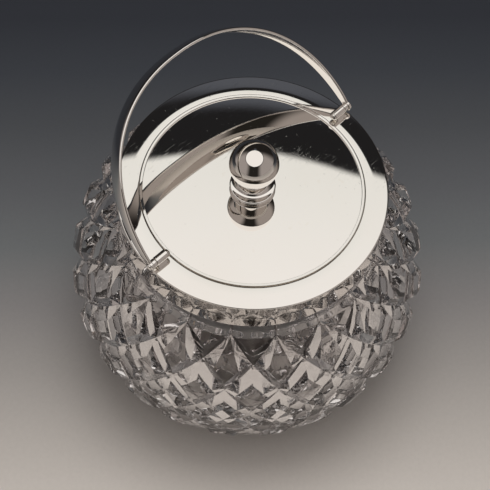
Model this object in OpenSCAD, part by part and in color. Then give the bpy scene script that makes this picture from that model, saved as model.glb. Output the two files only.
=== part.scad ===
// Biscuit jar: a diamond-cut glass globe with a plated mount, a lift-off lid and a swing handle.
// Millimetres. Z is up, the origin is the middle of the base, and X runs along the handle's pivots.

/* [Glass globe] */
// Radius of the globe over the raised diamonds
globe_r = 81; // [78:0.5:85]
// Height of the globe's centre above the table
globe_mid_z = 64; // [61:0.5:67]
// Depth of the mitre cuts between the diamonds
cut_depth = 4; // [2.5:0.25:5]
// Diamonds in one row round the globe
diamonds = 20; // [14:1:26]
// Whole rows of diamonds
diamond_rows = 7; // [5:1:9]
// Share of a whole diamond's width that is left as its raised table
table_share = 0.46; // [0.2:0.02:0.7]
// Turn of the cut pattern about the jar's axis
pattern_angle = 1.6; // [0:0.2:18]
// Height of the lowest diamonds' corners above the table
foot_h = 1; // [0.6:0.1:4]
// Radius of the ground base
base_r = 48; // [44:0.5:50]
// Height of the plain band between the highest diamonds and the collar
band_h = 2; // [1.5:0.1:4]
// How far the shoulder falls inside the globe where it meets the collar
shoulder_drop = 4.5; // [3.5:0.25:5.5]
// Depth of the cuts where they run out at the shoulder
run_out_depth = 0.5; // [0.25:0.25:1.5]
// Glass left between the bottom of the cuts and the inside
wall_t = 7; // [5:0.5:9]
// Glass left under the shoulder
shoulder_t = 6; // [5:0.5:8]
// Thickness of the glass floor
floor_t = 10; // [7:0.5:14]

/* [Star-cut base] */
// Rays of the star
star_rays = 20; // [12:1:32]
// Radius of the star over the tips of its rays
star_r = 38; // [30:1:42]
// Radius where neighbouring rays part
star_part_r = 9; // [6:0.5:12]
// Depth of the star at its middle
star_depth = 1.2; // [0.6:0.1:2]

/* [Mount] */
// Height of the flat flange's top above the table
flange_top_z = 130; // [128:0.5:132]
// Outer radius of the flange
flange_r = 57.5; // [56.5:0.1:59]
// Thickness of the flange
flange_t = 1.2; // [1:0.1:1.5]
// Width of the flange
flange_w = 9.9; // [9.2:0.1:11]
// Width of its edge that falls towards the lid
dip_w = 2.1; // [1.5:0.1:2.6]
// How far the flange falls at the lid's edge
dip_h = 0.15; // [0.05:0.05:0.3]
// How far the flange stands out over the collar
overhang = 0.5; // [0.3:0.1:1.2]
// Depth of the collar under the flange
collar_h = 15.8; // [13:0.2:17]
// Wall of the collar, of the lid's seat and of the lid's bezel
sheet_t = 0.9; // [0.7:0.05:1.1]
// Thickness of the plaster between the collar and the neck
plaster_t = 2.5; // [1.5:0.1:3.5]
// Depth of the glass lip under the flange's top
lip_drop = 4; // [3.5:0.25:5]
// Width of the ledge that the lid rests on
ledge_w = 2.9; // [2.6:0.1:3.4]
// Thickness of that ledge
ledge_t = 0.8; // [0.6:0.1:1.2]
// How far the throat below the ledge reaches down inside the mouth
throat_h = 8; // [6:0.5:10]
// Gap between the throat and the glass mouth
mouth_gap = 0.5; // [0.3:0.1:0.9]

/* [Lid] */
// Gap between the lid and the flange round it
lid_gap = 0.3; // [0.2:0.05:0.4]
// Gap between the lid and its ledge
lid_play = 0.2; // [0.1:0.05:0.3]
// Thickness of the lid's flat plate
lid_t = 0.7; // [0.6:0.05:0.9]
// Width of the flat wire round the lid's rim
rim_wire_w = 1.3; // [1:0.1:1.6]
// How far that wire stands above the plate
rim_wire_h = 0.6; // [0.4:0.05:0.8]
// Rounding of the wire's two upper edges
rim_wire_round = 0.25; // [0.15:0.05:0.3]
// How far the plate's edge turns up against the wire
turn_up = 0.3; // [0.2:0.05:0.35]
// Depth of the bezel that locates the lid
bezel_h = 7.5; // [5:0.5:9]
// Gap between the bezel and the throat
bezel_gap = 0.3; // [0.2:0.05:0.5]

/* [Finial] */
// Radius of the finial's ball
ball_r = 10.3; // [9:0.1:11.5]
// Height of the ball's centre above the lid
ball_h = 17.2; // [16.3:0.1:18.3]
// Widest radius of the finial's foot
foot_r = 9.7; // [9:0.1:11]
// Height of the foot's rim above the lid
foot_rim_h = 1.7; // [1.5:0.1:2]
// Radius of the small ring on the foot
foot_ring_r = 6.7; // [6:0.1:7.4]
// Height of that ring above the lid
foot_ring_h = 4; // [3.6:0.1:4.4]
// Radius of the foot's neck under the ball
foot_neck_r = 4.4; // [3.8:0.1:5]
// Radius of the threaded stud
stud_r = 1.5; // [1.2:0.1:1.9]
// How far the stud screws into the ball
stud_grip = 5; // [4:0.5:8]
// Radius of the washer under the lid
washer_r = 4.4; // [4:0.1:6]
// Thickness of the washer
washer_t = 0.8; // [0.5:0.1:1.2]
// Width across the flats of the nut
nut_af = 5.5; // [5.2:0.1:7]
// Height of the nut
nut_h = 2.4; // [2:0.1:3.2]

/* [Handle] */
// How far the strap's middle stands outside the flange's edge at the pivots
strap_out = 0.1; // [0:0.05:0.6]
// Reach of the handle from its pivots to the middle of its crown
handle_reach = 62.9; // [61.5:0.5:70]
// Lean of the handle from upright, towards the back
lean_angle = 49.5; // [0:0.5:60]
// Squareness of the handle's arch (2 is an ellipse)
arch_power = 2.2; // [2:0.05:2.6]
// Width of the strap at its crown
strap_w = 10.6; // [8:0.2:12]
// Width of the strap at its ends
strap_end_w = 4; // [3.4:0.1:4.4]
// Thickness of the strap
strap_t = 1.2; // [1:0.1:1.4]
// How far the strap is domed across its crown
strap_dome = 0.8; // [0.4:0.1:1.2]
// Metal round the hole in each end of the strap
eye_wall = 1.4; // [1.2:0.05:1.6]
// How far each eye stands proud of the strap on both sides
eye_boss = 0.15; // [0.1:0.05:0.3]

/* [Pivots] */
// Height of the pivots above the flange
pivot_h = 3.2; // [3:0.1:3.6]
// Radius of the pivot barrels
barrel_r = 1.9; // [1.7:0.05:2.1]
// Width of a barrel's saddle where it is soldered to the flange
saddle_w = 4.4; // [3.4:0.2:6]
// Radius of the pivot pins
pin_r = 0.95; // [0.8:0.05:1.1]
// Running clearance of a pin in its barrel
pin_clear = 0.05; // [0.03:0.01:0.08]
// Radius of the heads on the pins' inner ends
head_r = 1.7; // [1.5:0.05:1.9]
// Length of those heads
head_len = 1.1; // [0.8:0.1:1.4]
// Room left between those heads and the lid
head_gap = 0.5; // [0.3:0.1:0.8]
// Radius of the rivet heads outside the strap
rivet_r = 1.5; // [1.3:0.05:1.8]
// Height of the rivet heads
rivet_h = 0.9; // [0.5:0.1:1.2]
// Length of the spacer between barrel and strap
spacer_len = 1.8; // [1.4:0.1:2.2]
// Radius of the spacer
spacer_r = 1.8; // [1.5:0.05:2]
// End play on each side of a barrel
end_play = 0.1; // [0.05:0.01:0.15]

/* [Hidden] */
$fn = 96;

plate = [0.87, 0.86, 0.83];
crystal = [0.86, 0.89, 0.9, 0.45];
plaster = [0.93, 0.91, 0.86];
brass = [0.78, 0.66, 0.38];

// How far a cutting tool runs past the face that it cuts.
past = 1;

// The mount, counted down from the flange's top and in from its edge.
flange_under_z = flange_top_z - flange_t;
ledge_under_z = flange_under_z - ledge_t;
lip_z = flange_top_z - lip_drop;
collar_r = flange_r - overhang;
collar_in_r = collar_r - sheet_t;
neck_r = collar_in_r - plaster_t;

// The lid fills the opening in the flange, and the glass mouth clears the throat.
flange_in_r = flange_r - flange_w;
lid_r = flange_in_r - lid_gap;
throat_r = flange_in_r - ledge_w;
throat_out_r = throat_r + sheet_t;
mouth_r = throat_out_r + mouth_gap;
ledge_lap = 2;
ledge_out_r = flange_in_r + ledge_lap;

// The shoulder of the glass carries the plaster and stops just under the collar.
collar_gap = 0.1;
shoulder_z = flange_under_z - collar_h - collar_gap;
shoulder_r = collar_in_r - collar_gap;

// The lid, counted up from its ledge.
lid_under_z = flange_under_z + lid_play;
lid_top_z = lid_under_z + lid_t;
plate_r = lid_r - rim_wire_w;

function mix(a, b, f) = a + (b - a) * f;
function clamp01(v) = min(1, max(0, v));

// Corner arc of a turned outline, from angle a0 to a1 round (x, y).
function arc(x, y, r, a0, a1, n = 8) =
    [for (i = [0 : n]) let (a = mix(a0, a1, i / n)) [x + r * cos(a), y + r * sin(a)]];

// ---------------------------------------------------------------------------------------------
// Cut-glass globe
// ---------------------------------------------------------------------------------------------
// The cuts follow lines of constant slope round the globe, so the rows are evenly spaced in the
// stretched latitude ln(tan + sec), and every diamond keeps the same proportions.

function stretch(lat) = ln(tan(lat) + 1 / cos(lat));
function unstretch(s) = atan((exp(s) - exp(-s)) / 2);

last_row = diamond_rows + 1;
top_lat = asin((shoulder_z - band_h - globe_mid_z) / (globe_r - shoulder_drop));
low_lat = -asin((globe_mid_z - foot_h) / globe_r);
ring_pitch = (stretch(top_lat) - stretch(low_lat)) / last_row;
step = 360 / diamonds;

// The pattern is drawn in steps round the globe and rows down it: a cut is a straight line there,
// and diamond k of row j has its middle at [k + 0.5 or k + 1, j].
function row_lat(row) = unstretch(stretch(top_lat) - row * ring_pitch);
function row_shift(row) = (row % 2) / 2;

// Share of the way up the shoulder, from the second row to the first.
function shoulder_share(lat) = clamp01((lat - row_lat(1)) / (row_lat(0) - row_lat(1)));
function table_radius(lat) = globe_r - shoulder_drop * shoulder_share(lat);
function cut_radius(lat) =
    globe_r - mix(cut_depth, shoulder_drop + run_out_depth, shoulder_share(lat));

function on_circle(r, z, turns) =
    let (lon = pattern_angle + turns * step) [r * cos(lon), r * sin(lon), z];
function on_table(p) =
    let (lat = row_lat(p[1]), r = table_radius(lat))
    on_circle(r * cos(lat), globe_mid_z + r * sin(lat), p[0]);
function on_cut(p) =
    let (lat = row_lat(p[1]), r = cut_radius(lat))
    on_circle(r * cos(lat), globe_mid_z + r * sin(lat), p[0]);

// Corners of a diamond about its middle, clockwise as seen from outside.
up = [0, -1];
right = [0.5, 0];
down = [0, 1];
left = [-0.5, 0];

// The cuts are as much narrower as they are shallower, so the tables widen where the cuts run out.
function corner_share(row) =
    let (lat = row_lat(row))
    1 - (1 - table_share) * (table_radius(lat) - cut_radius(lat)) / cut_depth;
function table_corner(middle, corner) = middle + corner_share(middle[1] + corner[1]) * corner;

// Points along the sides between corners, so that the cuts and tables follow the globe's curve.
side_steps = 2;
function run(corners) =
    [for (i = [0 : len(corners) - 2], f = [0 : side_steps - (i < len(corners) - 2 ? 1 : 0)])
        mix(corners[i], corners[i + 1], f / side_steps)];

// Faces are listed clockwise as seen from outside: the two sides of the cuts round a diamond,
// and its raised table, which is a fan about the hub.
function facets(middle, corners, hub) =
    let (low = [for (p = run([for (c = corners) middle + c])) on_cut(p)],
         high = [for (p = run([for (c = corners) table_corner(middle, c)])) on_table(p)])
    [for (i = [0 : len(low) - 2]) each [
        [low[i], low[i + 1], high[i + 1]], [low[i], high[i + 1], high[i]],
        [high[i], high[i + 1], hub]]];

function diamond(row, k) =
    let (middle = [k + 0.5 + row_shift(row), row])
    facets(middle, [up, right, down, left, up], on_table(middle));

// The half diamonds of the first row run up into the plain shoulder under the collar.
function shoulder_half(k) =
    let (middle = [k + 0.5, 0],
         low_left = on_cut(middle + left), low_right = on_cut(middle + right),
         high_left = on_table(table_corner(middle, left)),
         high_right = on_table(table_corner(middle, right)),
         edge_left = on_circle(shoulder_r, shoulder_z, k),
         edge_mid = on_circle(shoulder_r, shoulder_z, k + 0.5),
         edge_right = on_circle(shoulder_r, shoulder_z, k + 1))
    concat(
        facets(middle, [right, down, left], edge_mid),
        [[edge_left, edge_mid, high_left], [edge_left, high_left, low_left],
         [edge_mid, edge_right, high_right], [edge_right, low_right, high_right]]);

// The half diamonds of the last row end at the edge of the base.
function base_half(k) =
    let (turns = k + row_shift(last_row), middle = [turns + 0.5, last_row],
         low_left = on_cut(middle + left), low_right = on_cut(middle + right),
         high_left = on_table(table_corner(middle, left)),
         high_right = on_table(table_corner(middle, right)),
         edge_left = on_circle(base_r, 0, turns),
         edge_mid = on_circle(base_r, 0, turns + 0.5),
         edge_right = on_circle(base_r, 0, turns + 1))
    concat(
        facets(middle, [left, up, right], edge_mid),
        [[edge_left, high_left, edge_mid], [edge_left, low_left, high_left],
         [edge_mid, high_right, edge_right], [edge_right, high_right, low_right]]);

// A solid from faces that are given as lists of points.
module faces_solid(faces) {
    sizes = [for (f = faces) len(f)];
    starts = [for (i = 0, s = 0; i < len(faces); s = s + sizes[i], i = i + 1) s];
    polyhedron(
        points = [for (f = faces) each f],
        faces = [for (i = [0 : len(faces) - 1]) [for (c = [0 : sizes[i] - 1]) starts[i] + c]]);
}

module cut_globe() {
    laps = [0 : diamonds - 1];
    halves = [0 : 2 * diamonds - 1];
    base_turns = row_shift(last_row);
    faces_solid(concat(
        [for (k = laps) each shoulder_half(k)],
        [for (row = [1 : diamond_rows], k = laps) each diamond(row, k)],
        [for (k = laps) each base_half(k)],
        [[for (i = halves) on_circle(shoulder_r, shoulder_z, -i / 2)],
         [for (i = halves) on_circle(base_r, 0, base_turns + i / 2)]]));
}

// The star cut into the base: a shallow pyramid whose rays taper out to points. It is drawn
// larger than it shows, about its apex, so that its facets run on through the base.
module star_cut() {
    grow = 1 + past / star_depth;
    ray_step = diamonds / star_rays;
    apex = [0, 0, star_depth];
    function rim(r, turns) = on_circle(r * grow, -past, turns * ray_step);
    rays = [0 : star_rays - 1];
    faces_solid(concat(
        [for (i = rays) [apex, rim(star_part_r, i + 0.5), rim(star_r, i)]],
        [for (i = rays) [apex, rim(star_r, i), rim(star_part_r, i - 0.5)]],
        [[for (i = rays) each [rim(star_r, i), rim(star_part_r, i + 0.5)]]]));
}

// The hollow of the jar: a globe with a flat floor, which narrows under the shoulder to the mouth.
module jar_hollow() {
    hollow_r = globe_r - cut_depth - wall_t;
    ceiling_z = shoulder_z - shoulder_t;
    ceiling_r = sqrt(pow(hollow_r, 2) - pow(ceiling_z - globe_mid_z, 2));
    difference() {
        translate([0, 0, globe_mid_z]) sphere(r = hollow_r);
        cylinder(h = floor_t, r = globe_r);
        translate([0, 0, ceiling_z]) cylinder(h = globe_r, r = globe_r);
    }
    translate([0, 0, ceiling_z]) cylinder(h = shoulder_z - ceiling_z, r1 = ceiling_r, r2 = mouth_r);
    translate([0, 0, shoulder_z]) cylinder(h = lip_z - shoulder_z + past, r = mouth_r);
}

module glass_jar() {
    color(crystal)
        difference() {
            union() {
                cut_globe();
                translate([0, 0, shoulder_z - past])
                    cylinder(h = lip_z - shoulder_z + past, r = neck_r);
            }
            jar_hollow();
            star_cut();
        }
}

// ---------------------------------------------------------------------------------------------
// Mount
// ---------------------------------------------------------------------------------------------
module ring(z, h, r_in, r_out) {
    translate([0, 0, z])
        difference() {
            cylinder(h = h, r = r_out);
            translate([0, 0, -past]) cylinder(h = h + 2 * past, r = r_in);
        }
}

// Plaster that fixes the mount: it fills the collar round the neck and beds the flange on the lip.
module bedding_plaster() {
    color(plaster)
        difference() {
            union() {
                ring(shoulder_z, lip_z - shoulder_z, neck_r, collar_in_r);
                ring(lip_z, flange_under_z - lip_z, throat_out_r, collar_in_r);
            }
            translate([0, 0, ledge_under_z]) cylinder(h = ledge_t + past, r = ledge_out_r);
        }
}

module collar() {
    color(plate) ring(flange_under_z - collar_h, collar_h, collar_in_r, collar_r);
}

// A flat ring with a rolled outer edge, which dips to a small roll round the lid.
module top_flange() {
    edge = flange_t / 2;
    roll = 0.3;
    color(plate)
        rotate_extrude()
            polygon(concat(
                [[flange_in_r, flange_under_z]],
                arc(flange_r - edge, flange_top_z - edge, edge, -90, 90),
                [[flange_in_r + dip_w, flange_top_z]],
                arc(flange_in_r + roll, flange_top_z - dip_h - roll, roll, 90, 180, 4)));
}

// The lid rests on this ledge, and its throat lines the mouth.
module lid_seat_ring() {
    color(plate) {
        ring(ledge_under_z, ledge_t, throat_r, ledge_out_r);
        ring(ledge_under_z - throat_h, throat_h, throat_r, throat_out_r);
    }
}

// ---------------------------------------------------------------------------------------------
// Lid
// ---------------------------------------------------------------------------------------------
stud_clear = 0.05;
stud_hole_r = stud_r + stud_clear;

// A flat disc, whose edge turns up a little against its rim wire.
module lid_plate() {
    color(plate)
        rotate_extrude()
            polygon([[stud_hole_r, lid_under_z], [plate_r, lid_under_z], [plate_r, lid_top_z + turn_up],
                [plate_r - turn_up, lid_top_z], [stud_hole_r, lid_top_z]]);
}

module lid_rim_wire() {
    rim_top_z = lid_top_z + rim_wire_h;
    edge_z = rim_top_z - rim_wire_round;
    color(plate)
        rotate_extrude()
            polygon(concat(
                [[plate_r, lid_under_z], [lid_r, lid_under_z]],
                arc(lid_r - rim_wire_round, edge_z, rim_wire_round, 0, 90, 5),
                arc(plate_r + rim_wire_round, edge_z, rim_wire_round, 90, 180, 5)));
}

module lid_bezel() {
    bezel_r = throat_r - bezel_gap;
    color(plate) ring(lid_under_z - bezel_h, bezel_h, bezel_r - sheet_t, bezel_r);
}

// ---------------------------------------------------------------------------------------------
// Finial
// ---------------------------------------------------------------------------------------------
ball_z = lid_top_z + ball_h;
ball_flat_z = ball_z - sqrt(pow(ball_r, 2) - pow(foot_neck_r, 2));
washer_z = lid_under_z - washer_t;
nut_z = washer_z - nut_h;

// Turned foot: an undercut rim, a hollow flare, a small ring and the neck that carries the ball.
module finial_foot() {
    rim_bead = 0.5;
    ring_bead = 0.45;
    undercut = 0.8;
    rim_in = foot_r - rim_bead;
    ring_in = foot_ring_r - ring_bead;
    flare_low = foot_rim_h + rim_bead;
    flare_high = foot_ring_h - ring_bead;
    color(plate)
        translate([0, 0, lid_top_z])
            rotate_extrude()
                polygon(concat(
                    [[stud_hole_r, 0], [foot_r - undercut, 0]],
                    arc(rim_in, foot_rim_h, rim_bead, -50, 90, 7),
                    [for (a = [15 : 15 : 75])
                        [mix(rim_in, ring_in, sin(a)), mix(flare_low, flare_high, 1 - cos(a))]],
                    arc(ring_in, foot_ring_h, ring_bead, -90, 90, 6),
                    [[foot_neck_r, foot_ring_h + ring_bead],
                     [foot_neck_r, ball_flat_z - lid_top_z],
                     [stud_hole_r, ball_flat_z - lid_top_z]]));
}

module finial_ball() {
    color(plate)
        difference() {
            translate([0, 0, ball_z]) sphere(r = ball_r);
            translate([0, 0, ball_flat_z - ball_r]) cylinder(h = ball_r, r = ball_r);
            cylinder(h = ball_flat_z + stud_grip, r = stud_hole_r);
        }
}

module finial_stud() {
    stud_low_z = nut_z - past;
    color(brass)
        translate([0, 0, stud_low_z])
            cylinder(h = ball_flat_z + stud_grip - stud_low_z, r = stud_r);
}

module finial_washer() {
    color(brass) ring(washer_z, washer_t, stud_hole_r, washer_r);
}

module finial_nut() {
    color(brass)
        translate([0, 0, nut_z])
            difference() {
                cylinder(h = nut_h, r = nut_af / 2 / cos(30), $fn = 6);
                translate([0, 0, -past]) cylinder(h = nut_h + 2 * past, r = stud_hole_r);
            }
}

// ---------------------------------------------------------------------------------------------
// Handle and pivots
// ---------------------------------------------------------------------------------------------
// Distances from the jar's axis along the pivots, from the strap inwards to the lid.
pivot_z = flange_top_z + pivot_h;
handle_half = flange_r + strap_out;
eye_in_x = handle_half - strap_t / 2 - eye_boss;
eye_out_x = handle_half + strap_t / 2 + eye_boss;
spacer_x = eye_in_x - spacer_len;
barrel_out_x = spacer_x - end_play;
head_x = lid_r + head_gap;
barrel_in_x = head_x + head_len + end_play;
eye_r = pin_r + eye_wall;

// A point of the arch's middle line, at angle t from the left pivot, as [x, reach].
function arch_point(t) =
    [-handle_half * sign(cos(t)) * pow(abs(cos(t)), 2 / arch_power),
     handle_reach * pow(abs(sin(t)), 2 / arch_power)];
function arch_normal(t) =
    let (a = arch_point(max(0, t - 0.5)), b = arch_point(min(180, t + 0.5)),
         d = (b - a) / norm(b - a))
    [-d[1], d[0]];

// The strap is flat at its eyes, and widens quickly above them and then slowly up to its crown.
strap_swell = 0.7;
function strap_share(t) =
    pow(clamp01((arch_point(t)[1] - eye_r) / (handle_reach - eye_r)), strap_swell);

strap_steps = 52;
strap_cols = 6;

// Cross-section of the strap at t: the domed outer face, then the hollowed inner face back again.
function strap_section(t) =
    let (p = arch_point(t), n = arch_normal(t), share = strap_share(t),
         w = mix(strap_end_w, strap_w, share), dome = strap_dome * share)
    [for (side = [1, -1], c = [0 : strap_cols])
        let (s = side * (2 * c / strap_cols - 1), off = side * strap_t / 2 + dome * (1 - s * s))
        [p[0] + n[0] * off, s * w / 2, p[1] + n[1] * off]];

module strap_sweep() {
    per = 2 * (strap_cols + 1);
    last = strap_steps * per;
    points = [for (i = [0 : strap_steps]) each strap_section(180 * i / strap_steps)];
    sides = [for (i = [0 : strap_steps - 1], c = [0 : per - 1])
        let (a = i * per + c, b = i * per + (c + 1) % per)
        each [[a, b + per, a + per], [a, b, b + per]]];
    ends = [for (c = [0 : strap_cols - 1]) let (quad = [c, c + 1, per - 2 - c, per - 1 - c])
        each [[for (i = [3 : -1 : 0]) quad[i]], [for (corner = quad) last + corner]]];
    polyhedron(points = points, faces = concat(sides, ends));
}

module along_x(x0, x1, r) {
    translate([x0, 0, 0]) rotate([0, 90, 0]) cylinder(h = x1 - x0, r = r, $fn = 48);
}

// Both sides of the jar carry the same pivot parts, drawn on the right and mirrored to the left.
module at_pivot(side, lean = 0) {
    translate([0, 0, pivot_z])
        rotate([-lean, 0, 0])
            mirror([side < 0 ? 1 : 0, 0, 0]) children();
}

// The strap is drawn upright over its pivots and then leaned back.
module handle_strap() {
    color(plate)
        at_pivot(1, lean_angle)
            difference() {
                union() {
                    strap_sweep();
                    along_x(-eye_out_x, -eye_in_x, eye_r);
                    along_x(eye_in_x, eye_out_x, eye_r);
                }
                along_x(-eye_out_x - past, -eye_in_x + past, pin_r);
                along_x(eye_in_x - past, eye_out_x + past, pin_r);
            }
}

// A barrel on a tapered saddle, which is soldered to the flat of the flange.
module pivot_barrel(side) {
    saddle_top_w = 1.4 * barrel_r;
    saddle_in_x = max(barrel_in_x, flange_in_r + dip_w) + overhang;
    color(plate)
        at_pivot(side)
            difference() {
                union() {
                    along_x(barrel_in_x, barrel_out_x, barrel_r);
                    translate([saddle_in_x, 0, 0])
                        rotate([90, 0, 90])
                            linear_extrude(height = barrel_out_x - saddle_in_x)
                                polygon([[-saddle_w / 2, -pivot_h], [saddle_w / 2, -pivot_h],
                                    [saddle_top_w / 2, -barrel_r / 2],
                                    [-saddle_top_w / 2, -barrel_r / 2]]);
                }
                along_x(barrel_in_x - past, barrel_out_x + past, pin_r + pin_clear);
            }
}

// The pin turns with the handle: a round head inside the barrel, and a riveted head outside the eye.
module pivot_pin(side) {
    head_round = head_r / 3;
    color(plate)
        at_pivot(side, lean_angle) {
            along_x(head_x + head_len / 2, eye_out_x + rivet_h / 2, pin_r);
            translate([head_x, 0, 0])
                rotate([0, 90, 0])
                    rotate_extrude()
                        polygon(concat([[0, 0], [0, head_len], [head_r, head_len]],
                            arc(head_r - head_round, head_round, head_round, 0, -90, 5)));
            translate([eye_out_x, 0, 0])
                rotate([0, 90, 0])
                    rotate_extrude()
                        polygon(concat([[0, 0]],
                            [for (a = [0 : 15 : 90]) [rivet_r * cos(a), rivet_h * sin(a)]]));
        }
}

module pivot_spacer(side) {
    color(plate)
        at_pivot(side, lean_angle)
            difference() {
                along_x(spacer_x, eye_in_x, spacer_r);
                along_x(spacer_x - past, eye_in_x + past, pin_r);
            }
}

glass_jar();
bedding_plaster();
collar();
top_flange();
lid_seat_ring();
pivot_barrel(-1);  // pivot_barrel_left
pivot_barrel(1);  // pivot_barrel_right
lid_plate();
lid_rim_wire();
lid_bezel();
finial_foot();
finial_ball();
finial_stud();
finial_washer();
finial_nut();
handle_strap();
pivot_pin(-1);  // pivot_pin_left
pivot_pin(1);  // pivot_pin_right
pivot_spacer(-1);  // pivot_spacer_left
pivot_spacer(1);  // pivot_spacer_right
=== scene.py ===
"""Looks of the biscuit jar: a diamond-cut glass globe, its plated mount, flat lid and swing handle."""

import logging
from dataclasses import dataclass, field
from enum import Enum
from math import acos, asin, atan, copysign, cos, degrees, pi, radians, sin, sinh, sqrt, tan, tau
from math import log as ln
from typing import Callable, Sequence

import bmesh
import bpy
from bpy.types import Material, Node, NodeSocket, NodeTree, Object
from mathutils import Matrix, Vector


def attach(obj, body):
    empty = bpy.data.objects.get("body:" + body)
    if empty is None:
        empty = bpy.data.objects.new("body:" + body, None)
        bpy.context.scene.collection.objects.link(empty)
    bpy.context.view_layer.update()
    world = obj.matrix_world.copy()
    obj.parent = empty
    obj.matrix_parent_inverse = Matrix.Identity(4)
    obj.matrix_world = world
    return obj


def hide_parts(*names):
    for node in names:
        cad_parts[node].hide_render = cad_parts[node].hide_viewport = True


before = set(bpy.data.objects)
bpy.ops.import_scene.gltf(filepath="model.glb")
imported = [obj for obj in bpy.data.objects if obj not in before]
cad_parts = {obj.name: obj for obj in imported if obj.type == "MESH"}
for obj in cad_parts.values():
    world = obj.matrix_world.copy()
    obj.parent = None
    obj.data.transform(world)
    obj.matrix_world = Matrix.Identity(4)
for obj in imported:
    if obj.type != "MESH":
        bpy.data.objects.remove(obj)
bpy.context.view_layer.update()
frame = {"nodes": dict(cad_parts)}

log = logging.getLogger("biscuit_jar")

MM = 0.001
Point = tuple[float, float]
Corner = tuple[float, float, float]
Colour = tuple[float, float, float]
Spot = tuple[float, float, float]


class Body(Enum):
    """A CAD body that pieces ride on."""

    JAR = "jar"
    LID = "lid"
    HANDLE = "handle"


class Slot(Enum):
    """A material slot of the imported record."""

    CUT_GLASS = "cut_glass"
    PLASTER = "plaster"
    COLLAR = "plate_collar"
    FLANGE = "plate_flange"
    LID = "plate_lid"
    FINIAL = "plate_finial"
    HANDLE = "plate_handle"
    PIVOT = "plate_pivot"
    BRASS = "brass"


class Side(Enum):
    """A side of the jar along X, and the sign of its pivot."""

    LEFT = -1
    RIGHT = 1

    def word(self) -> str:
        """The side's name as it ends the CAD nodes' names."""
        return self.name.lower()


# ---- Mesh tools ----
def mix(a: float, b: float, share: float) -> float:
    """The value that lies `share` of the way from a to b."""
    return a + (b - a) * share


def filleted(corners: Sequence[Corner], closed: bool = True, pieces: int = 6) -> list[Point]:
    """Rounds the corners of a turned outline.

    Args:
        corners: Each corner as (radius from the axis, height, corner radius).
        closed: Whether the last corner joins the first.
        pieces: Chords in each rounded corner.

    Returns:
        The outline's points, with a support point on each side of every rounded corner, so that
        the flats next to it stay flat under smooth shading.
    """
    points: list[Point] = []
    count = len(corners)
    for i, (x, y, radius) in enumerate(corners):
        ends = not closed and i in (0, count - 1)
        if radius <= 0 or ends:
            points.append((x, y))
            continue
        here = Vector((x, y))
        before = Vector(corners[i - 1][:2]) - here
        after = Vector(corners[(i + 1) % count][:2]) - here
        half = before.angle(after) / 2
        room = 0.46 * min(before.length, after.length)
        run = min(radius / tan(half), room)
        turn = run * tan(half)
        u, v = before.normalized(), after.normalized()
        middle = here + (u + v).normalized() * (turn / sin(half))
        first, last = here + u * run - middle, here + v * run - middle
        sweep = first.angle_signed(last)
        guard = min(0.12 * turn, room * 0.08)
        points.append(tuple(here + u * (run + guard)))
        for k in range(pieces + 1):
            spoke = first.copy()
            spoke.rotate(Matrix.Rotation(-sweep * k / pieces, 2))
            points.append(tuple(middle + spoke))
        points.append(tuple(here + v * (run + guard)))
    return points


def arc(x: float, y: float, r: float, start: float, stop: float, pieces: int = 12) -> list[Point]:
    """Points on a circle about (x, y) from angle start to stop, in degrees."""
    angles = (radians(mix(start, stop, k / pieces)) for k in range(pieces + 1))
    return [(x + r * cos(a), y + r * sin(a)) for a in angles]


def about_z(r: float, h: float, a: float) -> Spot:
    """Places a turned point round the jar's axis."""
    return r * cos(a), r * sin(a), h


def turned(outline: Sequence[Point], place: Callable[[float, float, float], Spot] = about_z,
           steps: int = 192) -> tuple[list[Spot], list[list[int]]]:
    """Turns an outline round an axis.

    Args:
        outline: Points as (radius, height). Where both ends lie on the axis it closes there;
            otherwise its last point joins its first.
        place: Puts (radius, height, angle) in space, in millimetres.
        steps: Sections round the axis.

    Returns:
        The points and faces of the closed shape.
    """
    spots: list[Spot] = []
    rings: list[list[int]] = []
    for r, h in outline:
        if r < 1e-6:
            rings.append([len(spots)] * steps)
            spots.append(place(0.0, h, 0.0))
        else:
            rings.append([len(spots) + k for k in range(steps)])
            spots.extend(place(r, h, tau * k / steps) for k in range(steps))
    on_axis = outline[0][0] < 1e-6 and outline[-1][0] < 1e-6
    joins = len(rings) - 1 if on_axis else len(rings)
    faces: list[list[int]] = []
    for i in range(joins):
        low, high = rings[i], rings[(i + 1) % len(rings)]
        for k in range(steps):
            n = (k + 1) % steps
            loop = [low[k], low[n], high[n], high[k]]
            face = [c for j, c in enumerate(loop) if c != loop[j - 1]]
            if len(face) > 2:
                faces.append(face)
    return spots, faces


def loft(rings: Sequence[Sequence[Spot]], closed: bool = False,
         capped: bool = False) -> tuple[list[Spot], list[list[int]]]:
    """Joins rings that have the same number of points.

    Args:
        rings: The rings, one after another.
        closed: Whether the last ring joins the first.
        capped: Whether the first and last rings are filled.

    Returns:
        The points and faces.
    """
    per, count = len(rings[0]), len(rings)
    spots = [spot for ring in rings for spot in ring]
    joins = [(i * per, (i + 1) % count * per) for i in range(count if closed else count - 1)]
    faces = [[low + c, low + (c + 1) % per, high + (c + 1) % per, high + c]
             for low, high in joins for c in range(per)]
    if capped:
        faces += [list(range(per)), list(range(len(spots) - 1, len(spots) - 1 - per, -1))]
    return spots, faces


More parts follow.
